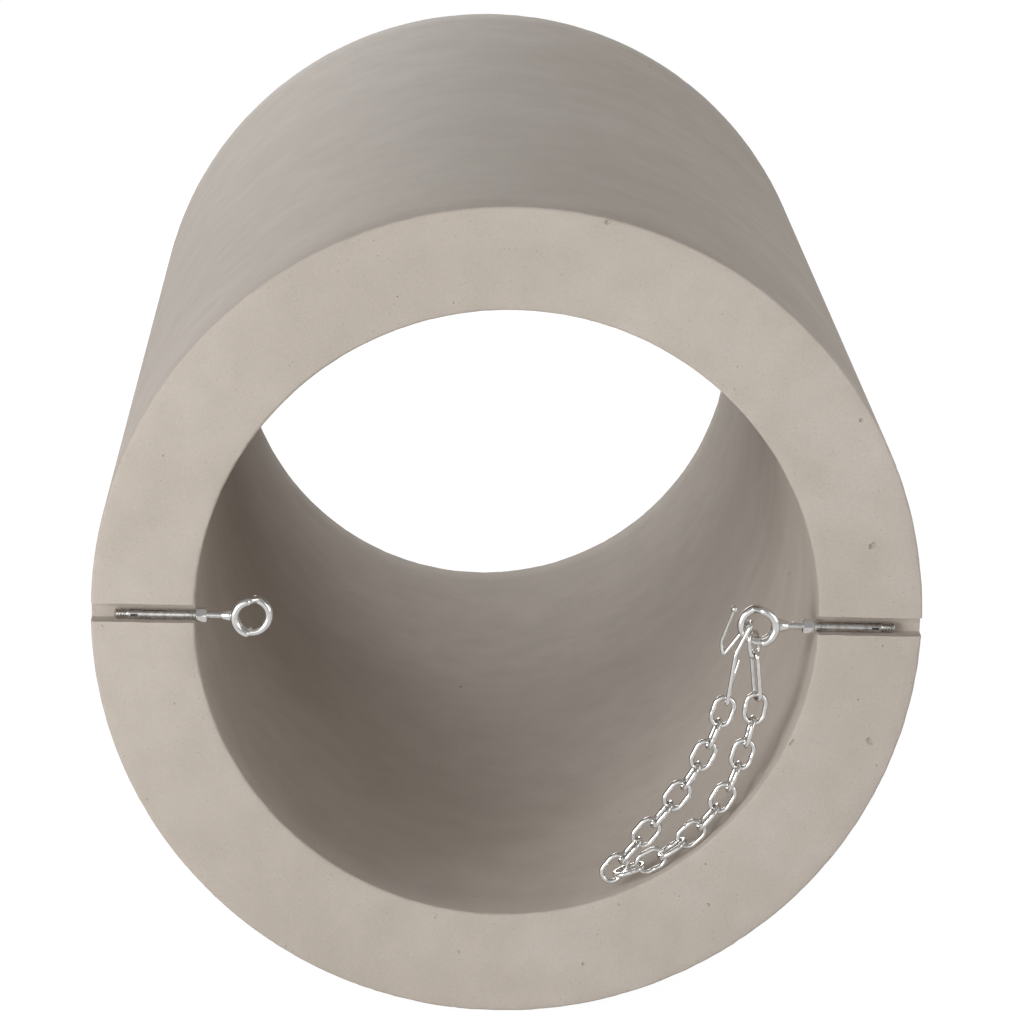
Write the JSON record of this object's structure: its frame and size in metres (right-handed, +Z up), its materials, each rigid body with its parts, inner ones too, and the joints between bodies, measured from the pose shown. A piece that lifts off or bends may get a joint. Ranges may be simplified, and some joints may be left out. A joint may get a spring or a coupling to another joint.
{
  "type": "concrete manhole section with eye anchors and chain",
  "caption": "Round concrete manhole section lying on its side, with eye anchors in grooves across one end and a stainless steel chain that ends in a hook.",
  "frame": {"origin": "on the floor under the middle of the section, as it lies on its side", "axes": "+Y along the bore away from the grooved end, +Z up, +X to the right seen from the grooved end"},
  "size_m": [0.8, 1.35, 0.7998],
  "materials": {
    "concrete": "rough cast, fine pores",
    "stainless": "polished"
  },
  "bodies": {
    "root": {"manhole_section": "concrete", "left_eye_bolt": "stainless", "left_nut": "stainless", "left_washer": "stainless", "left_sleeve": "stainless", "left_cone": "stainless", "right_eye_bolt": "stainless", "right_nut": "stainless", "right_washer": "stainless", "right_sleeve": "stainless", "right_cone": "stainless", "chain_link_01": "stainless", "chain_link_02": "stainless", "chain_link_03": "stainless", "chain_link_04": "stainless", "chain_link_05": "stainless", "chain_link_06": "stainless", "chain_link_07": "stainless", "chain_link_08": "stainless", "chain_link_09": "stainless", "chain_link_10": "stainless", "chain_link_11": "stainless", "chain_link_12": "stainless", "chain_link_13": "stainless", "chain_link_14": "stainless", "chain_link_15": "stainless", "chain_link_16": "stainless", "chain_link_17": "stainless", "chain_link_18": "stainless", "chain_link_19": "stainless", "eye_link": "stainless", "long_link": "stainless", "chain_hook": "stainless"}
  },
  "joints": []
}
